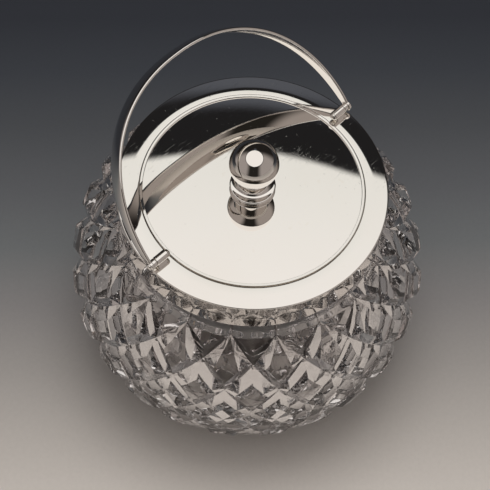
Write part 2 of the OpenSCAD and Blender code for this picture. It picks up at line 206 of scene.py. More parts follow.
def make_piece(name: str, shapes: Sequence[tuple[Sequence[Spot], Sequence[Sequence[int]]]],
               sharp: float = 35.0) -> Object:
    """Makes one object from closed shapes.

    Args:
        name: The piece's name.
        shapes: Points in millimetres and faces of each closed shape.
        sharp: Edges that turn by more than this many degrees stay sharp.

    Returns:
        The new object, in metres.
    """
    mesh = bpy.data.meshes.new(name)
    spots: list[Vector] = []
    faces: list[list[int]] = []
    for points, loops in shapes:
        base = len(spots)
        spots.extend(Vector(p) * MM for p in points)
        faces.extend([base + c for c in loop] for loop in loops)
    mesh.from_pydata(spots, [], faces)
    grid = bmesh.new()
    grid.from_mesh(mesh)
    bmesh.ops.remove_doubles(grid, verts=grid.verts, dist=1e-7)
    bmesh.ops.recalc_face_normals(grid, faces=grid.faces)
    grid.to_mesh(mesh)
    grid.free()
    mesh.shade_smooth()
    mesh.set_sharp_from_angle(angle=radians(sharp))
    mesh.update()
    piece = bpy.data.objects.new(name, mesh)
    bpy.context.scene.collection.objects.link(piece)
    return piece


def settle(piece: Object, material: Material, body: Body, slot: Slot,
           *nodes: str) -> None:
    """Dresses a finished piece and puts it on its body.

    Args:
        piece: The piece, already in place.
        material: Its finish.
        body: The CAD body that it rides on.
        slot: Not used.
        nodes: The CAD nodes that it stands for.
    """
    piece.data.materials.clear()
    piece.data.materials.append(material)
    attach(piece, body.value)
    if nodes:
        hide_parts(*nodes)
    log.info("%s: %d faces, rides on %s", piece.name, len(piece.data.polygons), body.value)


def spin(name: str, outline: Sequence[Point], material: Material, body: Body, slot: Slot, node: str,
         steps: int = 256, place: Callable[[float, float, float], Spot] = about_z) -> None:
    """Turns an outline into one piece, dresses it and puts it on its body.

    Args:
        name: The piece's name.
        outline: Points as (radius, height).
        material: Its finish.
        body: The CAD body that it rides on.
        slot: Passed on to settle, which does not use it.
        node: The CAD node that it stands for.
        steps: Sections round the axis.
        place: Puts (radius, height, angle) in space.
    """
    settle(make_piece(name, [turned(outline, place, steps)]), material, body, slot, node)


# ---- Finishes ----
class Sheet:
    """Adds and joins nodes in one node tree."""

    def __init__(self, tree: NodeTree) -> None:
        """Works on `tree`."""
        self.tree = tree

    def add(self, kind: str, **settings: object) -> Node:
        """Adds a node.

        Args:
            kind: The node's type name.
            settings: Properties by name; a name that is no property is one of its inputs, with
                underscores for spaces.

        Returns:
            The node.
        """
        node = self.tree.nodes.new(kind)
        for key, value in settings.items():
            if hasattr(node, key):
                setattr(node, key, value)
            else:
                node.inputs[key.replace("_", " ")].default_value = value
        return node

    def join(self, out: NodeSocket, into: NodeSocket) -> None:
        """Links an output to an input."""
        self.tree.links.new(out, into)

    def maths(self, operation: str, a: object, b: object = 0.5, c: object = 0.5) -> NodeSocket:
        """A Math node on sockets or plain numbers.

        Args:
            operation: Blender's name for it.
            a: First value.
            b: Second value.
            c: Third value.

        Returns:
            Its output.
        """
        node = self.add("ShaderNodeMath", operation=operation)
        for socket, value in zip(node.inputs, (a, b, c)):
            if isinstance(value, NodeSocket):
                self.join(value, socket)
            else:
                socket.default_value = value
        return node.outputs[0]

    def ramp(self, value: NodeSocket, low: float, high: float, out_low: object = 0.0,
             out_high: object = 1.0) -> NodeSocket:
        """Smoothly maps a value's range low..high to out_low..out_high, and holds it there.

        Args:
            value: The value.
            low: Where the range starts.
            high: Where the range ends.
            out_low: The result up to low, as a socket or a number.
            out_high: The result from high on, as a socket or a number.

        Returns:
            The mapped value.
        """
        node = self.add("ShaderNodeMapRange", interpolation_type="SMOOTHSTEP")
        self.join(value, node.inputs["Value"])
        node.inputs["From Min"].default_value = low
        node.inputs["From Max"].default_value = high
        for socket, bound in (("To Min", out_low), ("To Max", out_high)):
            if isinstance(bound, NodeSocket):
                self.join(bound, node.inputs[socket])
            else:
                node.inputs[socket].default_value = bound
        return node.outputs["Result"]

    def noise(self, vector: NodeSocket, scale: float, detail: float,
              roughness: float = 0.5) -> NodeSocket:
        """The value of a noise texture on a vector.

        Args:
            vector: Where it is looked up.
            scale: How many bumps to a metre.
            detail: How many finer layers it has.
            roughness: How strong those are.

        Returns:
            The value, from 0 to 1.
        """
        texture = self.add("ShaderNodeTexNoise", Scale=scale, Detail=detail, Roughness=roughness)
        self.join(vector, texture.inputs["Vector"])
        return texture.outputs["Fac"]

    def emboss(self, height: NodeSocket, strength: float, distance: float,
               shader: Node) -> None:
        """Bumps a shader's normal by a height.

        Args:
            height: The height.
            strength: The bump's strength.
            distance: Its depth in metres.
            shader: The shader.
        """
        bump = self.add("ShaderNodeBump", Strength=strength, Distance=distance)
        self.join(height, bump.inputs["Height"])
        self.join(bump.outputs["Normal"], shader.inputs["Normal"])

    def blend(self, share: object, a: object, b: object) -> NodeSocket:
        """Mixes two colours by a share; each may be a socket or plain.

        Args:
            share: The share of b.
            a: The first colour.
            b: The second colour.

        Returns:
            The mixed colour.
        """
        node = self.add("ShaderNodeMix", data_type="RGBA")
        for socket, value in ((node.inputs[0], share), (node.inputs[6], a), (node.inputs[7], b)):
            if isinstance(value, NodeSocket):
                self.join(value, socket)
            else:
                socket.default_value = value
        return node.outputs[2]


def new_group(name: str, inputs: Sequence[tuple[str, str, object]], outputs: Sequence[tuple[str, str]]
              ) -> tuple[NodeTree, Sheet, Node, Node]:
    """Starts a shader node group.

    Args:
        name: The group's name.
        inputs: Its inputs as (name, socket type, value).
        outputs: Its outputs as (name, socket type).

    Returns:
        The group, a sheet on it, and its input and output nodes.
    """
    group = bpy.data.node_groups.new(name, "ShaderNodeTree")
    for label, kind, value in inputs:
        socket = group.interface.new_socket(name=label, in_out="INPUT", socket_type=kind)
        if value is not None:
            socket.default_value = value
    for label, kind in outputs:
        group.interface.new_socket(name=label, in_out="OUTPUT", socket_type=kind)
    sheet = Sheet(group)
    return group, sheet, sheet.add("NodeGroupInput"), sheet.add("NodeGroupOutput")


FLOAT, COLOUR, VECTOR = "NodeSocketFloat", "NodeSocketColor", "NodeSocketVector"


def rubbed_group() -> NodeTree:
    """Marks of turning, rubbing and cleaning: fine rings, hairlines, smears and specks.

    Returns:
        A group that puts out a roughness, a height and a mask of smears.
    """
    group, s, start, end = new_group(
        "rubbed_marks",
        [("Vector", VECTOR, None), ("Rings", FLOAT, 1.0), ("Hairlines", FLOAT, 1.0),
         ("Smears", FLOAT, 1.0), ("Specks", FLOAT, 1.0), ("Clean Roughness", FLOAT, 0.012),
         ("Worn Roughness", FLOAT, 0.06)],
        [("Roughness", FLOAT), ("Height", FLOAT), ("Smear", FLOAT)])
    place = start.outputs["Vector"]
    parts = s.add("ShaderNodeSeparateXYZ")
    s.join(place, parts.inputs[0])
    x, y = parts.outputs["X"], parts.outputs["Y"]
    reach = s.maths("SQRT", s.maths("ADD", s.maths("MULTIPLY", x, x), s.maths("MULTIPLY", y, y)))
    polar = s.add("ShaderNodeCombineXYZ")
    s.join(s.maths("MULTIPLY", reach, 3600.0), polar.inputs["X"])
    s.join(s.maths("MULTIPLY", s.maths("ARCTAN2", y, x), 9.0), polar.inputs["Y"])
    s.join(s.maths("MULTIPLY", parts.outputs["Z"], 3600.0), polar.inputs["Z"])
    rings = s.ramp(s.noise(polar.outputs[0], 1.0, 2.0, 0.6), 0.5, 0.75)
    rings = s.maths("MULTIPLY", rings, start.outputs["Rings"])
    spin = s.add("ShaderNodeMapping", vector_type="POINT")
    spin.inputs["Rotation"].default_value = (0.2, 0.0, 0.6)
    spin.inputs["Scale"].default_value = (120.0, 5200.0, 120.0)
    s.join(place, spin.inputs["Vector"])
    hair = s.ramp(s.noise(spin.outputs[0], 1.0, 1.0, 0.6), 0.68, 0.78)
    hair = s.maths("MULTIPLY", hair, start.outputs["Hairlines"])
    smear = s.ramp(s.noise(place, 38.0, 5.0, 0.6), 0.42, 0.72)
    smear = s.maths("MULTIPLY", smear, start.outputs["Smears"])
    cells = s.add("ShaderNodeTexVoronoi", Scale=520.0)
    s.join(place, cells.inputs["Vector"])
    chance = s.add("ShaderNodeSeparateColor")
    s.join(cells.outputs["Color"], chance.inputs[0])
    dot = s.maths("MULTIPLY", s.ramp(cells.outputs["Distance"], 0.05, 0.16, 1.0, 0.0),
                  s.ramp(chance.outputs[0], 0.55, 0.9))
    dot = s.maths("MULTIPLY", dot, start.outputs["Specks"])
    worn = s.maths("MAXIMUM", s.maths("MAXIMUM", rings, hair), s.maths("MULTIPLY", smear, 0.5))
    rough = s.ramp(worn, 0.0, 1.0, start.outputs["Clean Roughness"], start.outputs["Worn Roughness"])
    s.join(s.maths("ADD", rough, s.maths("MULTIPLY", dot, 0.3)), end.inputs["Roughness"])
    depth = s.maths("ADD", s.maths("MULTIPLY", rings, 0.5), hair)
    s.join(s.maths("MULTIPLY", depth, -1.0), end.inputs["Height"])
    s.join(smear, end.inputs["Smear"])
    return group


def tarnish_group() -> NodeTree:
    """A faint film of tarnish that gathers in patches and spots.

    Returns:
        A group that puts out the metal's colour.
    """
    group, s, start, end = new_group(
        "tarnish",
        [("Vector", VECTOR, None), ("Bright", COLOUR, (0.9, 0.88, 0.84, 1)),
         ("Film", COLOUR, (0.75, 0.66, 0.5, 1)), ("Amount", FLOAT, 0.3)],
        [("Color", COLOUR)])
    wide = s.ramp(s.noise(start.outputs["Vector"], 22.0, 4.0), 0.4, 0.75)
    small = s.ramp(s.noise(start.outputs["Vector"], 260.0, 2.0), 0.69, 0.76)
    film = s.maths("ADD", s.maths("MULTIPLY", wide, 0.6), s.maths("MULTIPLY", small, 0.7))
    share = s.maths("MULTIPLY", film, start.outputs["Amount"])
    s.join(s.blend(share, start.outputs["Bright"], start.outputs["Film"]), end.inputs["Color"])
    return group


def new_material(name: str) -> tuple[Material, Sheet, Node, Node]:
    """Starts a material.

    Args:
        name: Its name.

    Returns:
        The material, a sheet on it, its Principled shader and its output.
    """
    material = bpy.data.materials.new(name)
    material.use_nodes = True
    nodes = material.node_tree.nodes
    return material, Sheet(material.node_tree), nodes["Principled BSDF"], nodes["Material Output"]


@dataclass(frozen=True)
class SilverPlate:
    """Polished silver plate with the hairlines of a century's cleaning."""

    name: str
    bright: Colour = (0.93, 0.905, 0.87)
    film: Colour = (0.78, 0.68, 0.53)
    tarnish: float = 0.12
    rings: float = 0.35
    hairlines: float = 0.4
    smears: float = 0.5
    specks: float = 0.6
    clean: float = 0.01
    worn: float = 0.05
    bump: float = 0.006

    def material(self, rubbed: NodeTree, tarnish: NodeTree) -> Material:
        """Builds the material.

        Args:
            rubbed: The group of rubbed marks.
            tarnish: The group of tarnish.

        Returns:
            The material.
        """
        material, s, metal, _ = new_material(self.name)
        where = s.add("ShaderNodeTexCoord")
        marks = s.add("ShaderNodeGroup", node_tree=rubbed, Rings=self.rings, Hairlines=self.hairlines,
                      Smears=self.smears, Specks=self.specks, Clean_Roughness=self.clean,
                      Worn_Roughness=self.worn)
        film = s.add("ShaderNodeGroup", node_tree=tarnish, Bright=(*self.bright, 1),
                     Film=(*self.film, 1), Amount=self.tarnish)
        for group in (marks, film):
            s.join(where.outputs["Object"], group.inputs["Vector"])
        s.join(film.outputs["Color"], metal.inputs["Base Color"])
        s.join(marks.outputs["Roughness"], metal.inputs["Roughness"])
        s.emboss(marks.outputs["Height"], self.bump, 0.0002, metal)
        metal.inputs["Metallic"].default_value = 1.0
        return material


@dataclass(frozen=True)
class CutGlass:
    """Clear, slightly smoky lead glass, cut and polished."""

    name: str = "cut_crystal"
    tint: Colour = (0.955, 0.935, 0.93)
    smoke: Colour = (0.91, 0.88, 0.875)
    shade: Colour = (0.6, 0.58, 0.57)
    ior: float = 1.54
    clean: float = 0.0
    worn: float = 0.03
    bump: float = 0.015

    def material(self, rubbed: NodeTree) -> Material:
        """Builds the material.

        Args:
            rubbed: The group of rubbed marks.

        Returns:
            The material.
        """
        material, s, glass, out = new_material(self.name)
        where = s.add("ShaderNodeTexCoord")
        marks = s.add("ShaderNodeGroup", node_tree=rubbed, Rings=0.0, Hairlines=0.0, Smears=0.5,
                      Specks=0.0, Clean_Roughness=self.clean, Worn_Roughness=self.worn)
        s.join(where.outputs["Object"], marks.inputs["Vector"])
        s.emboss(s.noise(where.outputs["Object"], 70.0, 1.0, 0.4), self.bump, 0.004, glass)
        colour = s.blend(marks.outputs["Smear"], (*self.tint, 1), (*self.smoke, 1))
        s.join(colour, glass.inputs["Base Color"])
        s.join(marks.outputs["Roughness"], glass.inputs["Roughness"])
        glass.inputs["Transmission Weight"].default_value = 1.0
        glass.inputs["IOR"].default_value = self.ior
        clear = s.add("ShaderNodeBsdfTransparent", Color=(*self.shade, 1))
        path = s.add("ShaderNodeLightPath")
        soft = s.maths("MAXIMUM", path.outputs["Is Shadow Ray"], path.outputs["Is Diffuse Ray"])
        choose = s.add("ShaderNodeMixShader")
        s.join(soft, choose.inputs[0])
        s.join(glass.outputs[0], choose.inputs[1])
        s.join(clear.outputs[0], choose.inputs[2])
        s.join(choose.outputs[0], out.inputs["Surface"])
        return material


@dataclass(frozen=True)
class SetPlaster:
    """Old set plaster, chalky and a little stained."""

    name: str = "set_plaster"
    pale: Colour = (0.74, 0.7, 0.63)
    stained: Colour = (0.5, 0.44, 0.36)

    def material(self) -> Material:
        """Builds the material."""
        material, s, plaster, _ = new_material(self.name)
        where = s.add("ShaderNodeTexCoord")
        grain = s.noise(where.outputs["Object"], 900.0, 6.0, 0.65)
        stain = s.noise(where.outputs["Object"], 60.0, 4.0, 0.6)
        colour = s.blend(s.ramp(stain, 0.4, 0.7), (*self.pale, 1), (*self.stained, 1))
        s.join(colour, plaster.inputs["Base Color"])
        s.join(s.ramp(grain, 0.3, 0.7, 0.8, 0.95), plaster.inputs["Roughness"])
        s.emboss(grain, 0.5, 0.0003, plaster)
        return material


# ---- Cut-glass globe ----
@dataclass
class GlassJar:
    """The globe of the jar, with its rows of raised diamonds, plain neck, hollow and star base."""

    globe_r: float = 81.0
    middle_z: float = 64.0
    cut_depth: float = 4.0
    diamonds: int = 20
    rows: int = 7
    table_share: float = 0.46
    pattern_angle: float = 1.6
    foot_h: float = 1.0
    base_r: float = 48.0
    band_h: float = 2.0
    shoulder_drop: float = 4.5
    run_out: float = 0.5
    wall_t: float = 7.0
    shoulder_t: float = 6.0
    floor_t: float = 10.0
    shoulder_z: float = 112.9
    shoulder_r: float = 56.0
    neck_r: float = 53.55
    mouth_r: float = 46.1
    lip_z: float = 125.95
    star_r: float = 38.0
    star_part_r: float = 9.0
    star_depth: float = 1.2
    side_steps: int = 5
    points: list[Spot] = field(default_factory=list)
    faces: list[list[int]] = field(default_factory=list)

    def __post_init__(self) -> None:
        """Works out where the rows of cuts lie."""
        top = asin((self.shoulder_z - self.band_h - self.middle_z) / (self.globe_r - self.shoulder_drop))
        low = -asin((self.middle_z - self.foot_h) / self.globe_r)
        self.top_stretch = self.stretch(top)
        self.last_row = self.rows + 1
        self.pitch = (self.top_stretch - self.stretch(low)) / self.last_row

    @staticmethod
    def stretch(lat: float) -> float:
        """The stretched latitude in which the cuts are straight lines."""
        return ln(tan(lat) + 1 / cos(lat))

    def row_lat(self, row: float) -> float:
        """The latitude of a row, in radians."""
        return atan(sinh(self.top_stretch - row * self.pitch))

    def spot(self, turns: float, row: float, cut: bool) -> Spot:
        """A point of the pattern.

        Args:
            turns: Steps round the globe.
            row: Rows down it.
            cut: Whether it lies at the bottom of a cut, and not on the raised tables.

        Returns:
            The point in millimetres.
        """
        lat = self.row_lat(row)
        up = (lat - self.row_lat(1)) / (self.row_lat(0) - self.row_lat(1))
        up = min(1.0, max(0.0, up))
        full = self.shoulder_drop + self.run_out
        drop = mix(self.cut_depth, full, up) if cut else self.shoulder_drop * up
        r = self.globe_r - drop
        return self.round_spot(r * cos(lat), self.middle_z + r * sin(lat), turns)

    def share(self, row: float) -> float:
        """The share of a diamond's half width that its table takes at a row: shallow cuts are narrow."""
        up = (self.row_lat(row) - self.row_lat(1)) / (self.row_lat(0) - self.row_lat(1))
        depth = mix(self.cut_depth, self.run_out, min(1.0, max(0.0, up)))
        return 1 - (1 - self.table_share) * depth / self.cut_depth

    def table_corner(self, middle: Point, corner: Point) -> Point:
        """Where a corner of a diamond's table lies, as (turns, row)."""
        t = self.share(middle[1] + corner[1])
        return middle[0] + t * corner[0], middle[1] + t * corner[1]

    def round_spot(self, r: float, z: float, turns: float) -> Spot:
        """A point at a radius and height, `turns` steps of the pattern round the jar."""
        a = radians(self.pattern_angle + turns * 360 / self.diamonds)
        return r * cos(a), r * sin(a), z

    def add_face(self, *spots: Spot) -> None:
        """Adds one face from its points."""
        start = len(self.points)
        self.points.extend(spots)
        self.faces.append(list(range(start, start + len(spots))))

    def add_strip(self, low: Sequence[Spot], high: Sequence[Spot]) -> None:
        """Adds the faces between two rows of points."""
        for i in range(len(low) - 1):
            self.add_face(low[i], low[i + 1], high[i + 1], high[i])

    def add_side(self, middle: Point, start: Point, stop: Point) -> None:
        """Adds one side of a diamond, from the bottom of its cut up to its table.

        Args:
            middle: The diamond's middle, as (turns, row).
            start: The corner that the side starts at.
            stop: The corner that it ends at.
        """
        n = self.side_steps
        foot = [(middle[0] + c[0], middle[1] + c[1]) for c in (start, stop)]
        head = [self.table_corner(middle, c) for c in (start, stop)]
        low, high = ([self.spot(mix(a[0], b[0], i / n), mix(a[1], b[1], i / n), cut)
                      for i in range(n + 1)] for (a, b), cut in ((foot, True), (head, False)))
        self.add_strip(low, high)

    def add_table(self, middle: Point) -> None:
        """Adds the raised table of a whole diamond as a grid that follows the globe.

        Args:
            middle: The diamond's middle, as (turns, row).
        """
        n = self.side_steps
        top, right, low, left = (self.table_corner(middle, c)
                                 for c in ((0.0, -1.0), (0.5, 0.0), (0.0, 1.0), (-0.5, 0.0)))

        def at(i: int, j: int) -> Spot:
            """The grid's point (i, j), from the top corner along both upper sides."""
            a, b = i / n, j / n
            turns, row = (mix(mix(top[k], right[k], a), mix(left[k], low[k], a), b) for k in (0, 1))
            return self.spot(turns, row, False)
        for i in range(n):
            for j in range(n):
                self.add_face(at(i, j), at(i + 1, j), at(i + 1, j + 1), at(i, j + 1))

    def add_half(self, middle: Point, down: int, edge_r: float, edge_z: float) -> None:
        """Adds a half diamond of the first or last row, which runs out at a plain edge.

        Args:
            middle: The middle of its straight side.
            down: 1 where its point hangs down the globe, -1 where it stands up.
            edge_r: Radius of the plain edge.
            edge_z: Height of the plain edge.
        """
        n = self.side_steps
        left, right, tip = (-0.5, 0.0), (0.5, 0.0), (0.0, float(down))
        self.add_side(middle, left, tip)
        self.add_side(middle, tip, right)
        peak = self.table_corner(middle, tip)
        t = self.share(middle[1])
        rows = []
        for i in range(n + 1):
            half, row = mix(t / 2, 0.0, i / n), mix(middle[1], peak[1], i / n)
            turns = [middle[0] + mix(-half, half, k / n) for k in range(n + 1)]
            rows.append([self.spot(turn, row, False) for turn in turns])
        for row, after in zip(rows, rows[1:-1]):
            self.add_strip(row, after)
        self.add_fan(rows[-1][0], rows[-2])
        turns = [-0.5] + [mix(-t / 2, t / 2, k / n) for k in range(n + 1)] + [0.5]
        inner = [self.spot(middle[0] + x, middle[1], abs(x) == 0.5) for x in turns]
        outer = [self.round_spot(edge_r, edge_z, middle[0] + x) for x in turns]
        self.add_strip(inner, outer)

    def add_fan(self, tip: Spot, row: Sequence[Spot]) -> None:
        """Adds triangles from one point to a row of points."""
        for i in range(len(row) - 1):
            self.add_face(tip, row[i], row[i + 1])

    def edge_turns(self, row: int) -> list[float]:
        """The turns of every point on the plain edge beside a row, in order round the jar.

        Args:
            row: The row.

        Returns:
            The turns.
        """
        t = self.share(row)
        shift = (row % 2) / 2
        n = self.side_steps
        one = [0.0] + [0.5 + mix(-t / 2, t / 2, k / n) for k in range(n + 1)]
        return [shift + k + x for k in range(self.diamonds) for x in one]

    def inside(self) -> list[Point]:
        """The outline of neck, mouth and hollow, from the shoulder's edge to the middle of the floor."""
        hollow_r = self.globe_r - self.cut_depth - self.wall_t
        ceiling_z = self.shoulder_z - self.shoulder_t
        ceiling_r = sqrt(hollow_r ** 2 - (ceiling_z - self.middle_z) ** 2)
        start = degrees(asin((ceiling_z - self.middle_z) / hollow_r))
        stop = -degrees(asin((self.middle_z - self.floor_t) / hollow_r))
        globe = [(r, z, 0.0) for r, z in arc(0, self.middle_z, hollow_r, start - 9, stop + 7, 40)]
        floor_r = sqrt(hollow_r ** 2 - (self.middle_z - self.floor_t) ** 2)
        return filleted(
            [(self.neck_r, self.shoulder_z, 1.0), (self.neck_r, self.lip_z, 0.8),
             (self.mouth_r, self.lip_z, 1.2), (self.mouth_r, self.shoulder_z, 3.0),
             (ceiling_r, ceiling_z, 7.0)] + globe
            + [(floor_r, self.floor_t, 7.0), (0.0, self.floor_t, 0.0)], closed=False, pieces=8)

    def add_inside(self, turns: Sequence[float]) -> None:
        """Adds the shoulder's top, neck, lip and hollow down to the middle of the floor.

        Args:
            turns: Turns of every point on its edge, in order.
        """
        outline = [(self.shoulder_r, self.shoulder_z)] + self.inside()
        rings = [[self.round_spot(r, z, t) for t in [*turns, turns[0]]] for r, z in outline[:-1]]
        for low, high in zip(rings, rings[1:]):
            self.add_strip(low, high)
        self.add_fan((0.0, 0.0, outline[-1][1]), rings[-1])

    def add_base(self, turns: Sequence[float]) -> None:
        """Adds the ground ring under the jar and the star cut inside it.

        Args:
            turns: Turns of every point on its edge, in order.
        """
        rim = [self.round_spot(self.base_r, 0, t) for t in [*turns, turns[0]]]
        ground = [self.round_spot(self.star_r + 1.5, 0, t) for t in [*turns, turns[0]]]
        self.add_strip(rim, ground)
        apex = (0.0, 0.0, self.star_depth)
        per = len(turns) // self.diamonds
        shift = turns[0]
        for k in range(self.diamonds):
            tip = self.round_spot(self.star_r, 0, shift + k)
            tip_next = self.round_spot(self.star_r, 0, shift + k + 1)
            part = self.round_spot(self.star_part_r, 0, shift + k + 0.5)
            self.add_face(apex, part, tip)
            self.add_face(apex, tip_next, part)
            ring = ground[k * per:(k + 1) * per + 1]
            half = len(ring) // 2
            self.add_fan(tip, ring[:half + 1])
            self.add_face(tip, ring[half], part)
            self.add_face(tip_next, part, ring[half])
            self.add_fan(tip_next, ring[half:])

    def build(self, glass: Material) -> Object:
        """Builds the jar and puts it in place.

        Args:
            glass: Its finish.

        Returns:
            The piece.
        """
        for k in range(self.diamonds):
            self.add_half((k + 0.5, 0.0), 1, self.shoulder_r, self.shoulder_z)
            shift = (self.last_row % 2) / 2
            self.add_half((k + 0.5 + shift, float(self.last_row)), -1, self.base_r, 0.0)
            for row in range(1, self.last_row):
                middle = (k + 0.5 + (row % 2) / 2, float(row))
                corners = [(0.0, -1.0), (0.5, 0.0), (0.0, 1.0), (-0.5, 0.0)]
                for i, corner in enumerate(corners):
                    self.add_side(middle, corner, corners[(i + 1) % 4])
                self.add_table(middle)
        self.add_inside(self.edge_turns(0))
        self.add_base(self.edge_turns(self.last_row))
        piece = make_piece("cut_glass_globe", [(self.points, self.faces)], sharp=12.0)
        settle(piece, glass, Body.JAR, Slot.CUT_GLASS, "glass_jar")
        return piece


# ---- Mount ----
@dataclass
class Mount:
    """The plated mount: collar, flat flange and the ledge and throat that seat the lid."""

    flange_plate: Material
    collar_plate: Material
    # Finish of the ledge and throat, its colour darkened as painted shade.
    ledge_plate_painted_shade: Material
    top_z: float = 130.0
    flange_r: float = 57.5
    flange_in_r: float = 47.7
    flange_t: float = 1.2
    fall: float = 0.006
    dish_w: float = 3.6
    dish_h: float = 0.075
    lip_r: float = 0.12
    collar_r: float = 57.0
    collar_h: float = 15.8
    sheet_t: float = 0.9
    throat_r: float = 44.7
    ledge_out_r: float = 49.6
    ledge_t: float = 0.8
    throat_h: float = 8.0

    def flange(self) -> None:
        """Builds the flat ring with its rolled edge, which falls gently to a lip round the lid."""
        under, edge, roll = self.top_z - self.flange_t, self.flange_t / 2, self.lip_r
        flat_r = self.flange_r - edge - 0.1
        low = self.fall * (flat_r - self.flange_in_r) + self.dish_h
        rolled = arc(self.flange_r - edge, self.top_z - edge, edge, -90, 90, 16)
        lip = arc(self.flange_in_r + roll, self.top_z - low - roll, roll, 90, 180, 8)
        dish = []
        for k in range(20):
            r = mix(flat_r, self.flange_in_r + roll, k / 20)
            inward = max(0.0, 1 - (r - self.flange_in_r - roll) / self.dish_w)
            dish.append((r, self.top_z - self.fall * (flat_r - r) - self.dish_h * inward ** 2))
        outline = ([(self.flange_in_r, under)] + [(self.flange_r - edge - 0.2, under)] + rolled
                   + dish + lip)
        spin("flat_flange", outline, self.flange_plate, Body.JAR, Slot.FLANGE, "top_flange")

    def collar(self) -> None:
        """Builds the band round the neck."""
        high = self.top_z - self.flange_t
        low = high - self.collar_h
        inner = self.collar_r - self.sheet_t
        outline = filleted([(inner, low, 0.15), (self.collar_r, low, 0.3), (self.collar_r, high, 0.05),
                            (inner, high, 0.05)])
        spin("neck_collar", outline, self.collar_plate, Body.JAR, Slot.COLLAR, "collar")

    def seat(self) -> None:
        """Builds the ledge that the lid rests on, with the throat below it."""
        high = self.top_z - self.flange_t
        under = high - self.ledge_t
        throat_out = self.throat_r + self.sheet_t
        low = under - self.throat_h
        outline = filleted([(self.throat_r, low, 0.25), (throat_out, low, 0.25),
                            (throat_out, under, 0.3), (self.ledge_out_r, under, 0.1),
                            (self.ledge_out_r, high, 0.1), (self.throat_r, high, 0.35)])
        spin("lid_ledge", outline, self.ledge_plate_painted_shade, Body.JAR, Slot.COLLAR, "lid_seat_ring")

    def build(self) -> None:
        """Builds the mount."""
        self.flange()
        self.collar()
        self.seat()


# ---- Lid and finial ----
@dataclass
class Lid:
    """The flat lid: plate, rim wire and the bezel under it."""

    plate: Material
    under_z: float = 129.0
    plate_t: float = 0.7
    lid_r: float = 47.3
    rim_w: float = 1.1
    rim_h: float = 0.65
    riser_lean: float = 0.07
    rim_fall: float = 0.045
    rim_edge: float = 0.09
    bezel_r: float = 44.4
    bezel_h: float = 7.5
    sheet_t: float = 0.9
    hole_r: float = 1.55

    @property
    def top_z(self) -> float:
        """Height of the lid's flat top."""
        return self.under_z + self.plate_t

    @property
    def plate_r(self) -> float:
        """Radius of the disc inside its rim."""
        return self.lid_r - self.rim_w - self.riser_lean

    def disc(self) -> None:
        """Builds the flat disc."""
        outline = [(self.hole_r, self.under_z), (self.plate_r, self.under_z), (self.plate_r, self.top_z),
                   (self.plate_r - 0.05, self.top_z), (24.0, self.top_z), (self.hole_r, self.top_z)]
        spin("lid_disc", outline, self.plate, Body.LID, Slot.LID, "lid_plate")

    def rim(self) -> None:
        """Builds the flat-topped rim round the disc, which stands a little above it."""
        high = self.top_z + self.rim_h
        inner, edge = self.lid_r - self.rim_w, self.rim_edge
        outline = filleted([(self.plate_r, self.under_z, 0.0), (self.lid_r, self.under_z, 0.1),
                            (self.lid_r, high, edge), (inner, high - self.rim_fall, edge),
                            (self.plate_r, self.top_z, 0.0)])
        spin("lid_wire", outline, self.plate, Body.LID, Slot.LID, "lid_rim_wire")

    def bezel(self) -> None:
        """Builds the ring that centres the lid in the throat."""
        inner, low = self.bezel_r - self.sheet_t, self.under_z - self.bezel_h
        outline = filleted([(inner, low, 0.3), (self.bezel_r, low, 0.4),
                            (self.bezel_r, self.under_z, 0.02), (inner, self.under_z, 0.02)])
        spin("lid_locating_ring", outline, self.plate, Body.LID, Slot.LID, "lid_bezel", steps=192)

    def build(self) -> None:
        """Builds the lid."""
        self.disc()
        self.rim()
        self.bezel()


